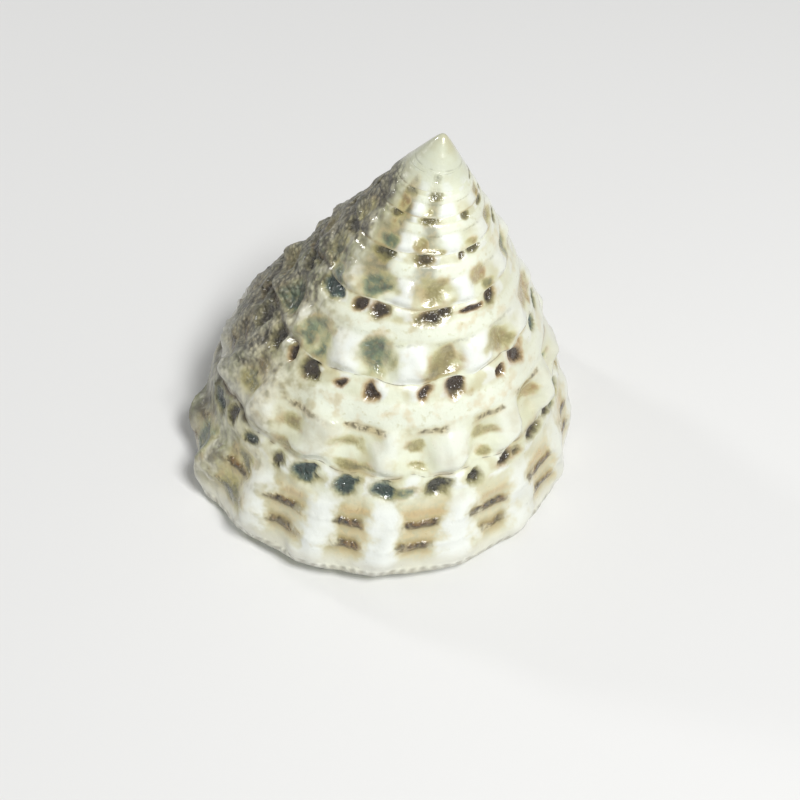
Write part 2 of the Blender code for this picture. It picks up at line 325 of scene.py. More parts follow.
def mark_field(turn, row, marks, wander):
    """(strength, tint) of the strongest of these marks: 1 inside it, fading to 0 round it."""
    strength, tinted = np.zeros_like(turn), np.zeros_like(turn)
    for middle, line, half_turn, half_row, tint in marks:
        across = (turn - middle) / half_turn
        near = np.abs(across) < 2.8
        away = np.hypot(across[near], (row[near] - line) / half_row) + 0.55 * wander[near]
        here = 1 - smooth(0.40, 1.95, away)
        stronger = here > strength[near]
        strength[near] = np.where(stronger, here, strength[near])
        tinted[near] = np.where(stronger, tint, tinted[near])
    return strength, tinted


class Skin:
    """What the side is like at these turns and rows: its folds, pits and blotches, and its noise."""

    def __init__(self, turn, row):
        turn, row = np.atleast_1d(turn), np.atleast_1d(row)
        turn, row = np.broadcast_arrays(turn, row)
        self.level = turn + 1 - row
        place = placed(turn, cone(self.level))
        self.slow = grain(place + 0.3, SLOW_GRAIN, 2)
        self.lumps = grain(place, LUMP_GRAIN, 2)
        self.knots = grain(place + 0.9, KNOT_GRAIN, 2)
        self.grit = grain(place + 0.5, GRIT_GRAIN, 2)
        self.inside = smooth(0, 0.06, row) * (1 - smooth(0.93, 1.0, row))
        self.count = fold_count(turn) + 0.16 * self.lumps * self.inside
        self.crest = 0.5 + 0.5 * np.cos(2 * math.pi * self.count)
        pits, blotches = strewn_marks()
        warp_turn = turn + 0.006 * self.knots * self.inside
        warp_row = row + 0.035 * self.lumps * self.inside
        self.pit, self.pit_tint = mark_field(warp_turn, warp_row, pits, self.knots)
        self.pit = self.pit * smooth(0, 0.03, row)
        self.blotch, self.tint = mark_field(warp_turn, warp_row, blotches, self.lumps + self.knots)
        self.shade = np.cos(LIP_AZIMUTH + 2 * math.pi * turn - STAINED_AZIMUTH)
        self.stain = smooth(0.50, 0.92, self.shade)
        even = self.lumps + 0.45 * self.knots + 0.22 * self.grit
        rough = 0.55 * self.lumps + 0.85 * self.knots + 0.40 * self.grit
        self.uneven = mix(even, rough, self.stain)


def relief(turn, row, shape):
    """Height of the side above the smooth cone, in metres."""
    shaped = np.shape(row)
    turn, row = np.broadcast_arrays(np.atleast_1d(turn), np.atleast_1d(row))
    skin = Skin(turn, row)
    level = skin.level
    carved = 1 - smooth(SMOOTH_TURN - 1.8, SMOOTH_TURN, turn)
    small_knob = 0.5 + 0.5 * np.cos(3 * math.pi * skin.count)
    body = 1 - smooth(0.95, 1.25, turn)
    near_lip = 1 - smooth(0, LIP_TURNS, turn)
    covered = under_next_whorl(turn)
    start = mix(0.48, mix(0.22, 0.40, 1 - smooth(0.0, 0.06, turn)), body)
    rim_fade = 1 - mix(0.70, 1.0, covered) * smooth(0.86, 1.0, row)
    folded = smooth(start, start + 0.22, row) * rim_fade
    fold = skin.crest**1.3
    band = smooth(0.22, 0.28, row) * (1 - smooth(0.44, 0.52, row)) * (1 - body)
    height = shape.band_height * band * carved * (1 + 0.3 * skin.knots)
    tall = shape.fold_height * mix(shape.spire_boost, 1.0, body)
    centred = fold - 0.50 * (1 - body)
    worn_knob = 1 - 0.7 * bump(turn, 1.44, 0.03)
    height += tall * centred * folded * carved * (1 + 0.7 * skin.slow) * worn_knob
    height += SLOW_SWELL * skin.slow * skin.inside
    height += (LIP_FOLD * fold - LIP_NOTCH * (1 - fold)) * folded * near_lip
    height -= LIP_HOLLOW * bump(row, 0.37, 0.13) * smooth(0, 0.06, row) * near_lip
    height += LIP_KNOB * bump(row, 0.66, 0.14) * (1 - smooth(0.02, 0.10, turn))
    height += RIM_SWELL * bump(row, 0.86, 0.14) * carved * (1 - smooth(0.9, 1.0, row) * covered)
    height += SMALL_KNOBS * small_knob * bump(row, 0.13, 0.05) * smooth(0, 0.05, row) * carved
    sunk = smooth(0.30, 0.95, skin.pit) * mix(0.5, 1.0, smooth(0.0, 0.3, turn))
    height -= shape.pit_depth * sunk * (1 + 0.3 * skin.grit)
    height += PIT_RING * bump(skin.pit, 0.30, 0.16) * skin.inside
    height += EDGE_KNOTS * skin.knots * bump(row, 0.97, 0.035) * (1 - covered)
    height -= 0.20 * shape.pit_depth * skin.blotch * skin.inside * (1 - body)
    for centre, share in BEADED_CORDS:
        beaded = 0.6 + 0.4 * np.cos(2 * math.pi * BEADS * skin.count)
        height += shape.cord_height * share * bump(row, centre, 0.030) * beaded * body
    wavy = 0.20 + 0.80 * skin.crest + 0.4 * skin.knots
    edge = bump(row, 0.885, 0.065) * covered * (1 - smooth(0.93, 1.0, row))
    height += shape.overhang * edge * wavy * carved * (1 - 0.7 * smooth(2.5, 4.5, level))
    upper_groove = bump(row, 0, SUTURE_WIDTH) * under_next_whorl(turn + 1)
    lower_groove = bump(row, 1, OVERHANG_WIDTH) * covered
    upper_groove = upper_groove * (0.55 + 0.45 * fold_wave(turn + 1))
    lower_groove = lower_groove * (0.55 + 0.45 * fold_wave(turn))
    groove = np.maximum(upper_groove, lower_groove) * (1 - 0.80 * smooth(2.8, 5.2, level))
    height -= shape.suture_depth * groove
    rugged = shape.roughness * (1 + 3.2 * skin.stain) * (1 - smooth(4.8, 6.0, level))
    calm_lip = (1 - smooth(0.0, 0.05, turn)) * smooth(0.0, 0.10, row)
    height += rugged * skin.uneven * (1 - 0.70 * calm_lip)
    height -= WORN_SIDE * skin.stain * smooth(1.0, 2.6, level) * (1 - smooth(4.8, 6.0, level))
    height *= (1 - smooth(TOP_TURN - 0.8, TOP_TURN, level))
    return (height * size_at(level)).reshape(shaped)


# Surfaces --------------------------------------------------


def suture_shift(turn):
    """Turns of level by which the suture at this turn hangs lower: folds push it down."""
    crest = fold_wave(turn)
    uneven = grain(placed(turn, cone(turn)), 380, 2)
    fade = 1 - smooth(SMOOTH_TURN - 2.0, SMOOTH_TURN - 0.6, turn)
    return SUTURE_WAVE * (crest - 0.45 + 1.6 * uneven) * under_next_whorl(turn) * fade


def side_point(count, row, shape):
    turn = side_turn(count, row)
    top = np.minimum(turn + 1, TOP_TURN)
    level = top + (turn - top) * row
    upper, lower = suture_shift(top), suture_shift(turn)
    level = level - upper * (1 - smooth(0, 0.24, row)) - lower * smooth(0.70, 1, row)
    height = relief(turn, row, shape)[..., None]
    return placed(turn, cone(level) + outward(level) * height)


def tip_point(count, ring):
    return placed(count, cone_at_share(size_at(TOP_TURN) * ring))


def base_section(turn, row):
    """(radius, depth) of the base, from the rim (row 0) to the coiling axis (row 1)."""
    rim = cone(turn)
    power = mix(FLAT_BASE_POWER, PARIETAL_POWER, smooth(0, 1, turn))
    drop = RIM_DROP * size_at(turn) * (1 - np.exp(-row / RIM_ROUND)) * (1 - row)
    depth = mix(rim[..., 1], PILLAR_DEPTH, row**power) + drop
    return np.stack([rim[..., 0] * (1 - row), depth], -1)


def base_turn(count, row):
    bow = BASE_LIP_BOW * np.sin(math.pi * row) * (1 - smooth(0, 0.3, count))
    return rim_turn(count) + bow


def base_point(count, row, shape):
    turn = base_turn(count, row)
    section = base_section(turn, row)
    cords = 0.5 + 0.5 * np.cos(2 * math.pi * BASE_CORDS * row)
    cords = cords * smooth(0.06, 0.14, row) * (1 - smooth(0.62, 0.76, row)) * (1 - smooth(0.75, 0.95, count))
    section[..., 1] += shape.cord_height * 0.8 * cords * smooth(0, 0.03, count)
    rim = np.broadcast_to(np.asarray(1.0), np.shape(count))
    edge = side_point(count, rim, shape) - placed(turn, cone(turn))
    return placed(turn, section) + edge * (1 - smooth(0, 0.12, row))[..., None]


# The chamber -----------------------------------------------


def whorl_loop():
    """The stations round a whorl's section, each a kind and a place along it."""
    stations = [("side", row) for row in SIDE_ROWS]
    stations += [("base", row) for row in BASE_ROWS[1:]]
    stations += [("ceiling", row) for row in BASE_ROWS[-2::-1]]
    return stations[:-1]  # the last would be the first again


def outer_loop_point(kind, row, shape):
    """A point of the lip's outer edge, or of the base just in front of the mouth."""
    row = np.array(row)
    if kind == "side":
        return side_point(np.array(0.0), row, shape)
    return base_point(np.array(0.0 if kind == "base" else 1.0), row, shape)


def loop_turn(kind, row):
    if kind == "side":
        return float(side_turn(0.0, row))
    if row > PILLAR_ROW:
        near, far = base_turn(0.0, PILLAR_ROW), base_turn(1.0, PILLAR_ROW) - 1
        return float(mix(near, far, pillar_share(kind, row)))
    return float(base_turn(0.0, row) if kind == "base" else base_turn(1.0, row) - 1)


def pillar_share(kind, row):
    """How far up the pillar a station beyond its foot lies."""
    beyond = (row - PILLAR_ROW) / (1 - PILLAR_ROW) / 2
    return beyond if kind == "base" else 1 - beyond


def whorl_section(turn, kind, row):
    if kind == "side":
        return cone(turn + 1 - row)
    if row > PILLAR_ROW:
        foot = base_section(turn, PILLAR_ROW)
        return mix(foot, base_section(turn + 1, PILLAR_ROW), pillar_share(kind, row))
    return base_section(turn if kind == "base" else turn + 1, row)


def whorl_centre(turn):
    corners = [cone(turn), cone(turn + 1)]
    corners += [base_section(turn, PILLAR_ROW), base_section(turn + 1, PILLAR_ROW)]
    return sum(corners) / len(corners)


def chamber_ring(depth):
    """The points round the chamber, `depth` turns in from the lip."""
    share = mix(RIM_SHARE, CHAMBER_SHARE, smooth(0, LIP_TAPER, depth))
    stations = whorl_loop()
    turns = np.array([loop_turn(kind, row) + depth for kind, row in stations])
    sections = []
    for turn, (kind, row) in zip(turns, stations):
        centre = whorl_centre(turn)
        sections.append(centre + (whorl_section(turn, kind, row) - centre) * share)
    sections = np.array(sections)
    for _ in range(CHAMBER_SMOOTHING):
        sections = (np.roll(sections, 1, 0) + 2 * sections + np.roll(sections, -1, 0)) / 4
    return placed(turns, sections)


def chamber_rows(shape):
    """Every ring of the chamber, with the lip's outer edge first and its closed end last."""
    outer = np.array([outer_loop_point(kind, row, shape) for kind, row in whorl_loop()])
    depths = [CHAMBER_TURNS * step / CHAMBER_RINGS for step in range(CHAMBER_RINGS + 1)]
    rings = [chamber_ring(depth) for depth in depths]
    end = np.broadcast_to(rings[-1].mean(0), rings[-1].shape)
    return np.array([outer, *rings, end])


# Building the mesh -----------------------------------------


def add_sheet(name, points, turns, rows, fields, slot):
    """A grid primitive whose corner in (column, row) is moved to points[column, row]."""
    columns, lines = points.shape[0] - 1, points.shape[1] - 1
    bpy.ops.object.select_all(action="DESELECT")
    bpy.ops.mesh.primitive_grid_add(x_subdivisions=columns, y_subdivisions=lines, size=1)
    sheet = bpy.context.object
    sheet.name = name
    mesh = sheet.data
    corners = np.empty(len(mesh.vertices) * 3)
    mesh.vertices.foreach_get("co", corners)
    corners = corners.reshape(-1, 3)
    column = np.rint((corners[:, 0] + 0.5) * columns).astype(int)
    line = np.rint((corners[:, 1] + 0.5) * lines).astype(int)
    mesh.vertices.foreach_set("co", points[column, line].ravel())
    index = np.empty(len(mesh.loops), int)
    mesh.loops.foreach_get("vertex_index", index)
    while mesh.uv_layers:
        mesh.uv_layers.remove(mesh.uv_layers[0])
    layer = mesh.uv_layers.new(name="coil")
    pairs = np.stack([turns[column, line][index], rows[column, line][index]], -1)
    layer.uv.foreach_set("vector", pairs.ravel())
    for field in FIELDS:
        values = fields.get(field, np.zeros_like(rows))
        made = mesh.attributes.new(field, "FLOAT", "CORNER")
        made.data.foreach_set("value", values[column, line][index].astype(np.float32))
    for polygon in mesh.polygons:
        polygon.material_index = slot
    mesh.update()
    return sheet


def coil_sheets(shape):
    """The shell's four surfaces as separate grids in the coiling frame."""
    counts = np.arange(round(STEPS * TOP_TURN) + 1) / STEPS
    count, row = np.meshgrid(counts, SIDE_ROWS, indexing="ij")
    turn = side_turn(count, row)
    points = side_point(count, row, shape)
    skin = Skin(turn, row)
    fields = {"folds": skin.count, "pit": skin.pit, "pit_tint": skin.pit_tint}
    fields |= {"blotch": skin.blotch, "tint": skin.tint}
    fields |= {"shade": skin.shade, "dip": 0.5 - 0.6 * skin.uneven}
    sheets = [add_sheet("side", points, turn, row, fields, 0)]

    count, ring = np.meshgrid(np.arange(STEPS + 1) / STEPS, TIP_RINGS, indexing="ij")
    high = np.full_like(count, TOP_TURN)
    points = tip_point(count, ring)
    sheets.append(add_sheet("tip", points, high, 1 - ring, {"folds": fold_count(high)}, 0))

    count, row = np.meshgrid(np.arange(STEPS + 1) / STEPS, BASE_ROWS, indexing="ij")
    turn = base_turn(count, row)
    points = base_point(count, row, shape)
    sheets.append(add_sheet("base", points, turn, row, {"folds": fold_count(turn)}, 1))

    rings = chamber_rows(shape)
    rings = np.concatenate([rings, rings[:, :1]], 1).transpose(1, 0, 2)
    station, depth = np.meshgrid(
        np.linspace(0, 1, rings.shape[0]), np.linspace(0, 1, rings.shape[1]), indexing="ij"
    )
    sheets.append(add_sheet("chamber", rings, station, depth, {}, 2))
    return sheets


def weld(sheets, name):
    """Joins the sheets into one closed mesh, lays it down and rubs it flat underneath."""
    bpy.ops.object.select_all(action="DESELECT")
    for sheet in sheets:
        sheet.select_set(True)
    bpy.context.view_layer.objects.active = sheets[0]
    bpy.ops.object.join()
    shell = bpy.context.object
    shell.name = shell.data.name = name
    bpy.ops.object.mode_set(mode="EDIT")
    bpy.ops.mesh.select_all(action="SELECT")
    bpy.ops.mesh.remove_doubles(threshold=WELD)
    bpy.ops.mesh.dissolve_degenerate(threshold=WELD)
    bpy.ops.mesh.normals_make_consistent(inside=False)
    bpy.ops.object.mode_set(mode="OBJECT")
    axis = Vector((-math.sin(LEAN_AZIMUTH), math.cos(LEAN_AZIMUTH), 0))
    shell.data.transform(Matrix.Translation(APEX) @ Matrix.Rotation(LEAN, 4, axis))
    for vertex in shell.data.vertices:
        vertex.co.z = max(vertex.co.z, 0.0)
    bpy.ops.object.shade_smooth_by_angle(angle=SHARP_ANGLE)
    return shell


# Shader maths ----------------------------------------------


class Value:
    """A node socket that Python's arithmetic works on."""

    def __init__(self, paint, socket):
        self.paint, self.socket = paint, socket

    def __add__(self, other):
        return self.paint.math("ADD", self, other)

    def __sub__(self, other):
        return self.paint.math("SUBTRACT", self, other)

    def __rsub__(self, other):
        return self.paint.math("SUBTRACT", other, self)

    def __mul__(self, other):
        return self.paint.math("MULTIPLY", self, other)

    __radd__ = __add__
    __rmul__ = __mul__


class Paint:
    """One material's node tree."""

    def __init__(self, name):
        self.material = bpy.data.materials.new(name)
        self.material.use_nodes = True
        self.tree = self.material.node_tree
        self.surface = self.tree.nodes["Principled BSDF"]

    def feed(self, socket, value):
        if isinstance(value, Value):
            self.tree.links.new(value.socket, socket)
        else:
            socket.default_value = value

    def node(self, kind, settings, inputs, output=0):
        made = self.tree.nodes.new(kind)
        for name, setting in settings.items():
            setattr(made, name, setting)
        for name, value in inputs.items():
            self.feed(made.inputs[name], value)
        return Value(self, made.outputs[output])

    def math(self, operation, *terms):
        return self.node("ShaderNodeMath", {"operation": operation}, dict(enumerate(terms)))

    def most(self, a, b):
        return self.math("MAXIMUM", a, b)

    def field(self, name):
        """One of the numbers that the mesh carries at its corners."""
        return self.node("ShaderNodeAttribute", {"attribute_name": name}, {}, "Fac")

    def wave(self, value, per_unit=1.0):
        """1 where value is a whole number of waves, 0 half-way between."""
        return self.math("COSINE", value * (2 * math.pi * per_unit)) * 0.5 + 0.5

    def step(self, value, start, end):
        settings = {"interpolation_type": "SMOOTHSTEP"}
        inputs = {"Value": value, "From Min": start, "From Max": end}
        return self.node("ShaderNodeMapRange", settings, inputs)

    def band(self, value, centre, half, soft):
        """1 within half of the centre, falling to 0 over soft."""
        away = self.math("ABSOLUTE", value - centre)
        return 1 - self.step(away, half, half + soft)

    def place(self):
        """Object coordinates, in millimetres."""
        found = self.node("ShaderNodeTexCoord", {}, {}, "Object")
        return self.node("ShaderNodeVectorMath", {"operation": "SCALE"}, {0: found, "Scale": 1000.0})

    def split(self, vector):
        return [self.node("ShaderNodeSeparateXYZ", {}, {0: vector}, axis) for axis in "XYZ"]

    def join(self, x, y, z=0.0):
        return self.node("ShaderNodeCombineXYZ", {}, {"X": x, "Y": y, "Z": z})

    def noise(self, place, scale, detail=2.0, roughness=0.5):
        inputs = {"Vector": place, "Scale": scale, "Detail": detail, "Roughness": roughness}
        return self.node("ShaderNodeTexNoise", {}, inputs)

    def chance(self, value):
        """A steady random number for each value."""
        settings = {"noise_dimensions": "1D"}
        return self.node("ShaderNodeTexWhiteNoise", settings, {"W": value})

    def blend(self, share, below, above):
        """The colour above laid over the colour below."""
        made = self.tree.nodes.new("ShaderNodeMix")
        made.data_type = "RGBA"
        for name, value in (("Factor_Float", share), ("A_Color", below), ("B_Color", above)):
            socket = next(s for s in made.inputs if s.identifier == name)
            self.feed(socket, value)
        return Value(self, next(s for s in made.outputs if s.identifier == "Result_Color"))

    def finish(self, colour, roughness, height, **others):
        self.feed(self.surface.inputs["Base Color"], colour)
        self.feed(self.surface.inputs["Roughness"], roughness)
        bump_inputs = {"Strength": 1.0, "Distance": BUMP_DISTANCE, "Height": height}
        normal = self.node("ShaderNodeBump", {}, bump_inputs)
        self.feed(self.surface.inputs["Normal"], normal)
        for name, value in others.items():
            self.feed(self.surface.inputs[name.replace("_", " ")], value)
        return self.material


def linear(red, green, blue):
    """A colour as a screen shows it, 0 to 255, as the shader wants it."""
    share = np.array([red, green, blue]) / 255
    low, high = share / 12.92, ((share + 0.055) / 1.055) ** 2.4
    return (*(float(v) for v in np.where(share <= 0.04045, low, high)), 1.0)


FOLD_WHITE = linear(244, 248, 241)
PALE = linear(237, 241, 217)
CREAM = linear(219, 220, 188)
BAND = linear(241, 246, 228)
TAN = linear(208, 189, 138)
OCHRE = linear(204, 192, 142)
ORANGE = linear(184, 144, 82)
OLIVE = linear(134, 122, 74)
BROWN = linear(112, 84, 52)
SLATE = linear(86, 116, 98)
BLUE_GREEN = linear(40, 58, 62)
PIT_DARK = linear(38, 30, 38)
WAX = linear(208, 212, 188)
GROOVE_SHADE = linear(70, 60, 50)
STAIN = linear(176, 164, 122)
ALGAE = linear(134, 138, 94)
BAND_WARM = linear(226, 208, 168)
BAND_OLIVE = linear(196, 190, 140)
TANNED = linear(208, 198, 158)
CLOUDED = linear(168, 168, 132)
GRIME_AND_SHADE = linear(108, 102, 86)
CREVICE_SHADE = linear(66, 60, 52)
FAR_SIDE_SHADE = linear(198, 196, 172)
PANEL_PALE = linear(188, 182, 142)
RIM = linear(232, 231, 214)
PANEL_ORANGE = linear(196, 156, 92)
BEAD_HALO = linear(164, 144, 88)
BEAD_DARK = linear(62, 54, 46)
LINE_TAN = linear(204, 180, 126)
LINE_DARK = linear(88, 80, 54)
BLOTCH_SPECK = linear(184, 174, 122)
BLOTCH_CORE = linear(48, 62, 64)
FRINGE = linear(166, 158, 100)
PIT_GLINT = linear(140, 136, 110)
WAX_TAN = linear(186, 178, 138)
SIDE_SHADE_GREY = linear(92, 92, 86)
PEBBLE = linear(178, 172, 150)
PEBBLE_GAP_SHADE = linear(64, 60, 56)
EDGE_GAP_SHADE = linear(136, 128, 110)
SUTURE_TAN = linear(172, 150, 98)
SUTURE_SHADE = linear(62, 56, 52)
FLAME_OLIVE = linear(112, 104, 66)
FLAME_TAN = linear(156, 138, 92)
HALO_OLIVE = linear(204, 198, 144)
HALO_TAN = linear(208, 188, 142)
BLOTCH_BROWN = linear(146, 110, 64)
PIT_BROWN = linear(88, 70, 48)
PIT_OLIVE = linear(92, 86, 56)
PIT_BLUE = linear(72, 98, 96)
PILLAR_WHITE = linear(236, 234, 222)
NACRE_PINK = linear(226, 214, 214)
NACRE_GREEN = linear(208, 224, 214)
NACRE_GOLD = linear(232, 226, 204)
LIP_EDGE = linear(232, 230, 214)


def painted_whorls(looks):
    """The outside of the whorls: cream, with pits, panels, blotches and rows of dark beads."""
    paint = Paint("painted_whorls")
    step, band, blend, most = paint.step, paint.band, paint.blend, paint.most
    place = paint.place()
    uv = paint.node("ShaderNodeUVMap", {"uv_map": "coil"}, {})
    turn, row, _ = paint.split(uv)
    fields = (paint.field(name) for name in FIELDS)
    count, pit_mark, pit_tint, blotch_mark, tint, shade, dip = fields

    slow = paint.noise(place, 0.30, 2.0)
    wander = paint.noise(place, 0.80, 2.0)
    fine = paint.noise(place, 1.9, 2.5, 0.55)
    glints = paint.noise(place, 2.2, 1.0)
    drift, dust = wander - 0.5, fine - 0.5
    phase = count + drift * 0.40 + dust * 0.06
    line = row + drift * 0.07 + dust * 0.015
    crest = paint.wave(phase)
    hollow = 1 - crest
    small = paint.wave(phase, 1.5)
    beads = paint.wave(count + drift * 0.3, BEADS)
    cell = paint.chance(paint.math("FLOOR", phase))

    last = 1 - step(turn, 0.95, 1.10)
    spire = step(turn, 1.72, 1.98)
    middle = 1 - most(last, spire)
    level = turn + 1 - row
    worn = step(level + (slow - 0.5) * 1.2, 5.5, 7.0)
    painted = 1 - worn

    colour = blend(step(slow, 0.35, 0.7), PALE, CREAM)
    colour = blend(step(wander, 0.45, 0.75) * 0.28, colour, TAN)
    dipped = step(dip + dust * 0.2, 0.50, 1.0)
    colour = blend(dipped * 0.50, colour, OCHRE)

    # White folds and knobs. The folds' white is partly their own colour and partly painted light: it is kept
    # to the crests, so that the fold sides read as shaded.
    white_and_lit_crest = step(crest, 0.30, 0.95) * step(line, 0.10, 0.38)
    lower = step(line, 0.40, 0.62)
    white_and_lit_crest = white_and_lit_crest * (last + (1 - last) * lower) * (1 - middle * (1 - step(shade, 0.4, 0.9)) * 0.50)
    knob = step(small, 0.40, 0.95) * band(line, 0.11, 0.06, 0.07)
    whitened = most(white_and_lit_crest * 0.97, knob * 0.85)
    colour = blend(whitened * (1 - dipped * 0.20), colour, FOLD_WHITE)

    # The pale band of the older whorls, and the pale rim of the last.
    pale_band = band(line, 0.36, 0.08, 0.09) * (1 - last)
    rim = step(line, 0.78, 0.92) * last
    band_colour = blend(step(wander, 0.50, 0.72) * 0.6, BAND, BAND_WARM)
    band_colour = blend(step(fine, 0.56, 0.74) * 0.45, band_colour, BAND_OLIVE)
    colour = blend(pale_band * 0.85, colour, band_colour)

    # Flame-like streaks that run up the oldest whorls.
    around_axis = paint.math("FRACT", turn) + drift * 0.045
    flames = band(around_axis, 0.090, 0.010, 0.036)
    flames = most(flames, band(around_axis, 0.186, 0.003, 0.032) * 0.7)
    flames = flames * step(level, 3.15, 3.60) * (1 - step(level, 6.0, 6.8))
    flame_colour = blend(step(fine, 0.42, 0.60), FLAME_OLIVE, FLAME_TAN)
    colour = blend(flames * 0.90, colour, flame_colour)

    # The stained, duller side beside the lip: real stain and wear, with painted shade laid into its mottle
    # and dips.
    tanned = step(shade + drift * 0.7, 0.15, 0.75) * painted
    colour = blend(tanned * 0.55, colour, TANNED)
    cloudy = step(slow + drift * 0.8, 0.46, 0.60) * tanned
    colour = blend(cloudy * 0.50, colour, CLOUDED)
    stain_and_shade = step(shade + drift * 0.45, 0.48, 0.90) * painted
    stain_and_shade = stain_and_shade * (1 - last * step(line, 0.50, 0.80) * 0.75)
    # Painted shade of the side turned from the main lamp, laid on after the marks.
    side_shade = step(shade + drift * 0.2, 0.70, 0.97) * painted
    pebbles = paint.node(
        "ShaderNodeTexVoronoi",
        {"feature": "SMOOTH_F1"},
        {"Vector": place, "Scale": 2.0, "Smoothness": 0.4},
    )
    eaten = step(shade + drift * 0.5, 0.70, 0.93) * step(level, 0.8, 1.5) * painted
    # Painted shade: the mottle's neutral dark grey also stands for this side being turned from the main
    # lamp.
    mottle = blend(step(slow, 0.40, 0.60), STAIN, ALGAE)
    mottle = blend(step(fine + drift * 0.5, 0.44, 0.62), mottle, GRIME_AND_SHADE)
    colour = blend(stain_and_shade * (0.40 + step(wander, 0.38, 0.62) * 0.42), colour, mottle)
    # Painted shade in the dips, deepest on the stained side.
    crevice_shade = step(dip + dust * 0.3 + stain_and_shade * 0.10, 0.46, 0.84)
    colour = blend(crevice_shade * (0.04 + stain_and_shade * 0.50), colour, CREVICE_SHADE)

    # Painted shade: the flank opposite the stained side is greyed.
    far_side_shade = step(shade, -0.70, -0.98) * painted
    colour = blend(far_side_shade * 0.40, colour, FAR_SIDE_SHADE)

    # Tan panels of the last whorl, with their rows of dark beads.
    warm = 1 - step(shade, 0.40, 0.85) * 0.75
    panel = step(hollow, 0.05, 0.85) * band(line, 0.56, 0.18, 0.22) * last * warm
    patchy = step(fine + drift * 0.8, 0.40, 0.64)
    panel_colour = blend(patchy * 0.8, TAN, PANEL_PALE)
    colour = blend(panel * (0.58 + cell * 0.30), colour, panel_colour)
    colour = blend(rim * 0.75, colour, RIM)
    orange = step(hollow, 0.40, 0.95) * band(line, 0.37, 0.01, 0.05) * last * warm
    colour = blend(orange * 0.34, colour, PANEL_ORANGE)
    first = band(line, UPPER_BEADS, 0.008, 0.050)
    second = band(line, LOWER_BEADS, 0.006, 0.048) * (0.70 + cell * 0.30)
    around = band(line, UPPER_BEADS, 0.02, 0.085)
    around = most(around, band(line, LOWER_BEADS, 0.03, 0.080))
    dash_span = step(hollow + drift * 0.5, 0.42, 0.92)
    dash = dash_span * most(first, second) * last
    colour = blend(dash_span * around * last * 0.75, colour, BEAD_HALO)
    dash_colour = blend(step(wander, 0.42, 0.58), BROWN, BEAD_DARK)
    colour = blend(dash * (0.72 + beads * 0.28), colour, dash_colour)

    # The dotted brown line of the older whorls.
    dotted_span = step(paint.wave(phase - 0.12), 0.85, 0.35)
    dotted = band(line, 0.545, 0.010, 0.034) * dotted_span * (0.45 + beads * 0.55)
    dotted = dotted * step(fine, 0.34, 0.54) * painted * (middle + spire * 0.35)
    tan_line = band(line, 0.55, 0.01, 0.06) * middle * dotted_span
    colour = blend(tan_line * 0.5, colour, LINE_TAN)
    colour = blend(dotted * 0.85, colour, LINE_DARK)

    # Blotches in the hollows between knobs: yellow-olive round the edge, brown or green within.
    shifted = drift * 0.50 + dust * 0.22
    reach = blotch_mark + shifted
    halo = blend(step(wander, 0.45, 0.62), HALO_OLIVE, HALO_TAN)
    colour = blend(step(reach, 0.05, 0.75) * 0.75, colour, halo)
    blotch = step(reach, 0.30, 1.10)
    blotch_colour = blend(step(tint, 0.05, 0.35), BLOTCH_BROWN, OLIVE)
    greener = step(tint + drift * 0.8, 0.45, 0.85)
    blotch_colour = blend(greener, blotch_colour, SLATE)
    speck = step(fine + (glints - 0.5) * 0.5, 0.46, 0.64)
    blotch_colour = blend(speck * 0.55, blotch_colour, BLOTCH_SPECK)
    core = step(blotch_mark + shifted * 2.0, 0.75, 1.25) * step(tint, 0.2, 0.7)
    blotch_colour = blend(core * 0.85, blotch_colour, BLOTCH_CORE)
    colour = blend(blotch * (0.66 + tint * 0.28), colour, blotch_colour)

    # The pits under the suture, in a brown and yellow-green fringe.
    reach = pit_mark + drift * 0.34 + dust * 0.34
    warm_fringe = 1 - step(pit_tint + drift * 0.9, 0.1, 0.45)
    old = step(level, 3.2, 5.0)
    fringe = blend(warm_fringe * (1 - old * 0.8), FRINGE, ORANGE)
    colour = blend(step(reach, 0.05, 0.66) * 0.72, colour, fringe)
    pit = step(reach, 0.36 - old * 0.18, old * 0.16 + 0.92)
    pit_colour = blend(step(pit_tint, 0.15, 0.45), PIT_BROWN, PIT_OLIVE)
    pit_colour = blend(step(pit_tint, 0.55, 0.85), pit_colour, PIT_BLUE)
    # Painted highlights: pale specks in the pits where the glint bumps rise.
    pit_colour = blend(step(glints, 0.54, 0.70) * 0.5, pit_colour, PIT_GLINT)
    deep = step(reach + (glints - 0.5) * 0.5, 0.62, 1.0)
    deep_colour = blend(step(pit_tint, 0.4, 0.9), PIT_DARK, BLUE_GREEN)
    pit_colour = blend(deep * (0.86 - old * 0.45), pit_colour, deep_colour)
    colour = blend(pit * (0.94 - old * 0.20), colour, pit_colour)

    # The worn, waxy apex.
    colour = blend(worn * 0.85, colour, WAX)
    colour = blend(worn * step(slow, 0.42, 0.66) * 0.5, colour, WAX_TAN)

    # Painted shade over the side turned from the main lamp, and the dull, pebbly surface that is worn
    # through the painted layer, with painted shade in the gaps between its pebbles.
    colour = blend(side_shade * (1 - blotch * 0.7) * 0.42, colour, SIDE_SHADE_GREY)
    pebble_gap_shade = step(pebbles + dust * 0.25, 0.32, 0.60)
    colour = blend(eaten * (1 - pebble_gap_shade) * 0.22, colour, PEBBLE)
    colour = blend(eaten * (1 - blotch * 0.5) * pebble_gap_shade * 0.42, colour, PEBBLE_GAP_SHADE)

    # Painted shade in the gaps between the fine beads at the rim's edge.
    edge_gap_shade = (1 - paint.wave(count, EDGE_BEADS)) * band(row, 0.980, 0.01, 0.03) * last
    colour = blend(edge_gap_shade * 0.55, colour, EDGE_GAP_SHADE)

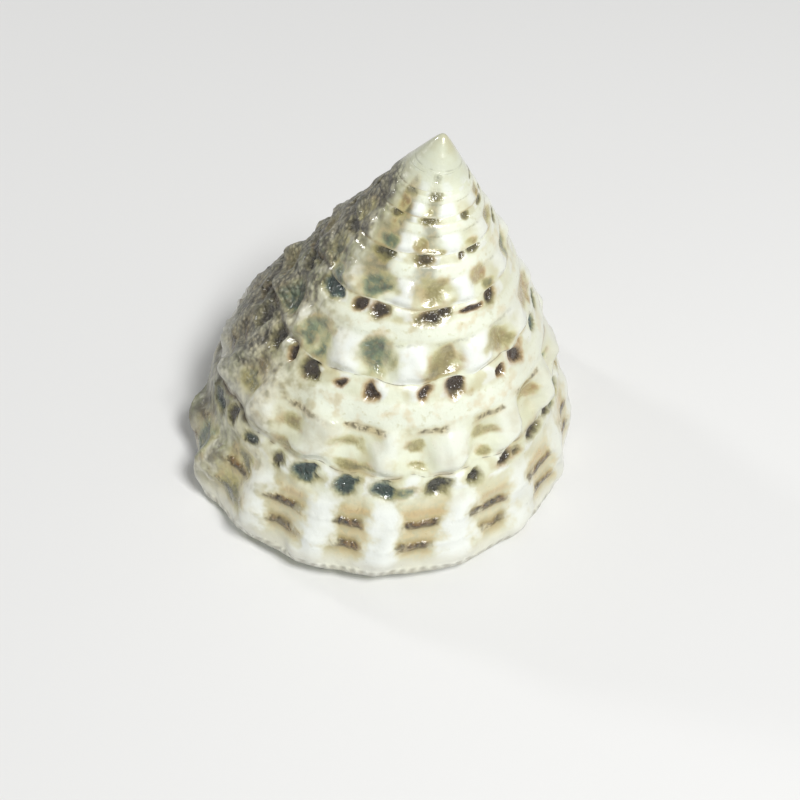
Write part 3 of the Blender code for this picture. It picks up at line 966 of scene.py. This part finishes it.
    # Along the suture: a brown tint in places, and painted shade, darker beside it on the stained side and
    # in a thin dark line in its groove.
    covered = step(turn, 0.87, 0.91)
    beside = most(1 - step(row, 0.0, 0.05), step(row, 0.94, 1.0) * covered)
    warmed = step(slow + drift * 0.6, 0.45, 0.65)
    colour = blend(beside * warmed * 0.50 * painted, colour, SUTURE_TAN)
    colour = blend(beside * stain_and_shade * 0.70, colour, SUTURE_SHADE)
    # Painted shade: a thin dark line in the suture's groove, broken in places.
    groove_shade = 1 - step(row, 0.001, worn * 0.05 + 0.014)
    groove_shade = most(groove_shade, step(row, 0.992, 0.999) * covered)
    broken = step(wander + dust * 0.3, 0.46, 0.60)
    thin = step(turn + row, 1.9, 1.7) * 0.50 + worn * 0.15 + 0.14
    colour = blend(groove_shade * broken * thin, colour, GROOVE_SHADE)

    wet = most(pit, most(dash, blotch * 0.25))
    roughness = 0.30 - wet * 0.18 + dust * 0.14 + stain_and_shade * 0.10 + eaten * 0.14
    growth = paint.noise(paint.join(count * 4.0, row * 1.4), 1.6, 3.0, 0.5)
    grit = paint.noise(place, 5.0, 3.0, 0.6)
    ribs = band(row, UPPER_BEADS, 0.0, 0.045) + band(row, LOWER_BEADS, 0.0, 0.045)
    ribs = (ribs + band(row, 0.36, 0.0, 0.05) * 0.5) * last
    ribs = ribs + band(row, 0.545, 0.0, 0.04) * 0.6 * middle
    edge_beads = paint.wave(count, EDGE_BEADS) * band(row, 0.965, 0.005, 0.03) * last
    height = growth * 0.03 + grit * 0.008 + fine * (0.025 + stain_and_shade * 0.05)
    height = height + glints * (0.02 + wet * 0.42) + wander * (0.05 + stain_and_shade * 0.22) - pit * 0.10
    height = height + ribs * (0.03 + beads * (0.02 + dash_span * last * 0.08)) * painted
    height = height + edge_beads * 0.10 - eaten * pebbles * 0.45
    return paint.finish(
        colour,
        roughness,
        height * looks.surface_grain,
        Coat_Weight=(1 - stain_and_shade * 0.40) * (1 - eaten * 0.55) * looks.coat,
        Coat_Roughness=0.05,
        Specular_IOR_Level=0.6,
    )


def base_paint(looks):
    """The underside: cream, with cords that carry short brown and olive flecks."""
    paint = Paint("flecked_base")
    place = paint.place()
    uv = paint.node("ShaderNodeUVMap", {"uv_map": "coil"}, {})
    turn, row, _ = paint.split(uv)
    count = paint.field("folds")
    slow = paint.noise(place, 0.35, 2.0)
    fine = paint.noise(place, 2.2, 4.0, 0.6)
    grit = paint.noise(place, 6.0, 4.0, 0.65)
    colour = paint.blend(paint.step(slow, 0.35, 0.7), PALE, CREAM)
    lines = paint.wave(row + (fine - 0.5) * 0.01, BASE_CORDS)
    flecks = paint.noise(paint.join(count * 1.3, row * BASE_CORDS), 1.0, 2.0)
    fleck = paint.step(flecks, 0.56, 0.64) * paint.step(lines, 0.35, 0.7)
    fleck = fleck * paint.step(row, 0.03, 0.10) * (1 - paint.step(row, 0.60, 0.74))
    colour = paint.blend(fleck * 0.7, colour, OLIVE)
    colour = paint.blend(paint.step(row, 0.66, 0.80) * 0.9, colour, PILLAR_WHITE)
    colour = paint.blend(paint.step(grit, 0.58, 0.75) * 0.12, colour, STAIN)
    growth = paint.noise(paint.join(count * 5.0, row * 1.4), 1.6, 4.0, 0.6)
    height = growth * 0.09 + grit * 0.05 + lines * 0.05
    return paint.finish(
        colour,
        0.38 + (grit - 0.5) * 0.2,
        height * looks.surface_grain,
        Coat_Weight=looks.coat * 0.6,
        Coat_Roughness=0.15,
    )


def mother_of_pearl(looks):
    """The inside and the lip: nacre with faint pink and green clouds."""
    paint = Paint("mother_of_pearl")
    place = paint.place()
    uv = paint.node("ShaderNodeUVMap", {"uv_map": "coil"}, {})
    _, depth, _ = paint.split(uv)
    clouds = paint.noise(place, 0.25, 3.0)
    ripple = paint.noise(place, 1.1, 3.0)
    nacre = paint.blend(paint.step(clouds, 0.40, 0.60), NACRE_PINK, NACRE_GREEN)
    nacre = paint.blend(paint.step(ripple, 0.5, 0.7) * 0.4, nacre, NACRE_GOLD)
    inner = paint.step(depth, 0.03, 0.08)
    colour = paint.blend(inner, LIP_EDGE, nacre)
    fed = paint.finish(
        colour,
        0.36 - inner * 0.16,
        ripple * 0.05 * looks.surface_grain,
        Coat_Weight=0.5,
        Coat_Roughness=0.08,
    )
    paint.feed(paint.surface.inputs["Metallic"], inner * 0.45)
    return fed


# Settings --------------------------------------------------


def length(name, description, default):
    return bpy.props.FloatProperty(
        name=name, description=description, default=default, precision=5, unit="LENGTH"
    )


class ShellSettings(bpy.types.PropertyGroup):
    """Sizes of the shell's relief, and its finish."""

    fold_height: length("Fold Height", "Height of the folds on the last whorl", 0.00078)
    spire_boost: bpy.props.FloatProperty(
        name="Spire Knobs", description="How much taller the folds stand on older whorls", default=2.6
    )
    band_height: length("Band Height", "Height of the smooth cord on older whorls", 0.00034)
    pit_depth: length("Pit Depth", "Depth of the pits under the suture", 0.00085)
    cord_height: length("Cord Height", "Height of the beaded cords", 0.00012)
    overhang: length("Overhang", "How far a rim stands over the next suture", 0.00040)
    suture_depth: length("Suture Depth", "Depth of the groove between whorls", 0.00036)
    roughness: length("Lumpiness", "Height of the uneven growth all over", 0.00012)
    surface_grain: bpy.props.FloatProperty(
        name="Surface Grain", description="Strength of growth lines and beads", default=1.0
    )
    coat: bpy.props.FloatProperty(
        name="Wet Coat",
        description="Weight of the glossy coat",
        default=0.60,
        min=0.0,
        max=1.0,
        subtype="FACTOR",
    )


class StageSettings(bpy.types.PropertyGroup):
    """The floor and the lights."""

    floor_colour: bpy.props.FloatVectorProperty(
        name="Floor",
        description="Colour of the floor",
        default=(0.80, 0.80, 0.79),
        subtype="COLOR",
    )
    key_power: bpy.props.FloatProperty(
        name="Key Light", description="Power of the main lamp", default=1.07, unit="POWER"
    )
    fill_power: bpy.props.FloatProperty(
        name="Fill Light", description="Power of the second lamp", default=0.03, unit="POWER"
    )
    rim_power: bpy.props.FloatProperty(
        name="Rim Light", description="Power of the lamp behind", default=0.11, unit="POWER"
    )
    sky_strength: bpy.props.FloatProperty(
        name="Sky", description="Strength of the light from all round", default=0.27
    )


# Operators -------------------------------------------------


class TOPSHELL_OT_shell(bpy.types.Operator):
    """Model and paint the shell"""

    bl_idname = "topshell.shell"
    bl_label = "Shell"
    bl_options = {"REGISTER", "UNDO"}

    def execute(self, context):
        looks = context.scene.top_shell
        shell = weld(coil_sheets(looks), "top_shell")
        shell.data.materials.clear()
        for material in (painted_whorls(looks), base_paint(looks), mother_of_pearl(looks)):
            shell.data.materials.append(material)
        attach(shell, "root")
        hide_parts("shell")
        return {"FINISHED"}


def area_lamp(name, place, size, power, target=Vector((0, 0, 0.014))):
    """A square soft lamp that faces the shell."""
    bpy.ops.object.light_add(type="AREA", location=place)
    lamp = bpy.context.object
    lamp.name = name
    lamp.data.size = size
    lamp.data.energy = power
    lamp.rotation_euler = (target - lamp.location).to_track_quat("-Z", "Y").to_euler()
    return lamp


class TOPSHELL_OT_stage(bpy.types.Operator):
    """Set out the floor, the lights and the camera"""

    bl_idname = "topshell.stage"
    bl_label = "Stage"
    bl_options = {"REGISTER", "UNDO"}

    def execute(self, context):
        looks = context.scene.top_shell_stage
        bpy.ops.object.select_all(action="DESELECT")
        bpy.ops.mesh.primitive_plane_add(size=4)
        floor = context.object
        floor.name = "floor"
        paint = Paint("pale_floor")
        paint.surface.inputs["Base Color"].default_value = (*looks.floor_colour, 1)
        paint.surface.inputs["Roughness"].default_value = 0.85
        floor.data.materials.append(paint.material)
        area_lamp("key", Vector((0.115, -0.13, 0.32)), 0.10, looks.key_power)
        area_lamp("fill", Vector((-0.22, -0.20, 0.16)), 0.16, looks.fill_power)
        area_lamp("rim", Vector((-0.20, 0.14, 0.14)), 0.03, looks.rim_power)

        world = bpy.data.worlds.new("soft_sky")
        world.use_nodes = True
        context.scene.world = world
        sky = world.node_tree.nodes["Background"]
        sky.inputs["Color"].default_value = (1, 1, 1, 1)
        sky.inputs["Strength"].default_value = looks.sky_strength

        bpy.ops.object.camera_add()
        camera = context.object
        camera.name = "camera"
        back = CAMERA_RIGHT.cross(CAMERA_UP)
        turned = Matrix((CAMERA_RIGHT, CAMERA_UP, back)).transposed().to_4x4()
        camera.matrix_world = Matrix.Translation(CAMERA_PLACE) @ turned
        camera.data.lens = CAMERA_LENS
        camera.data.clip_start, camera.data.clip_end = 0.005, 20
        context.scene.camera = camera
        context.scene.view_settings.view_transform = "Standard"
        return {"FINISHED"}


class TOPSHELL_PT_panel(bpy.types.Panel):
    """Lists the shell's settings and its operators."""

    bl_idname = "TOPSHELL_PT_panel"
    bl_label = "Top Shell"
    bl_space_type = "VIEW_3D"
    bl_region_type = "UI"
    bl_category = "Top Shell"

    def draw(self, context):
        for settings in (context.scene.top_shell, context.scene.top_shell_stage):
            box = self.layout.box()
            for name in settings.__annotations__:
                box.prop(settings, name)
        for kind in OPERATORS:
            self.layout.operator(kind.bl_idname)


OPERATORS = (TOPSHELL_OT_shell, TOPSHELL_OT_stage)
CLASSES = (ShellSettings, StageSettings, *OPERATORS, TOPSHELL_PT_panel)


def register():
    for kind in CLASSES:
        bpy.utils.register_class(kind)
    bpy.types.Scene.top_shell = bpy.props.PointerProperty(type=ShellSettings)
    bpy.types.Scene.top_shell_stage = bpy.props.PointerProperty(type=StageSettings)


def unregister():
    del bpy.types.Scene.top_shell_stage
    del bpy.types.Scene.top_shell
    for kind in reversed(CLASSES):
        bpy.utils.unregister_class(kind)


def main():
    register()
    bpy.ops.topshell.shell()
    bpy.ops.topshell.stage()


if __name__ == "__main__":
    main()
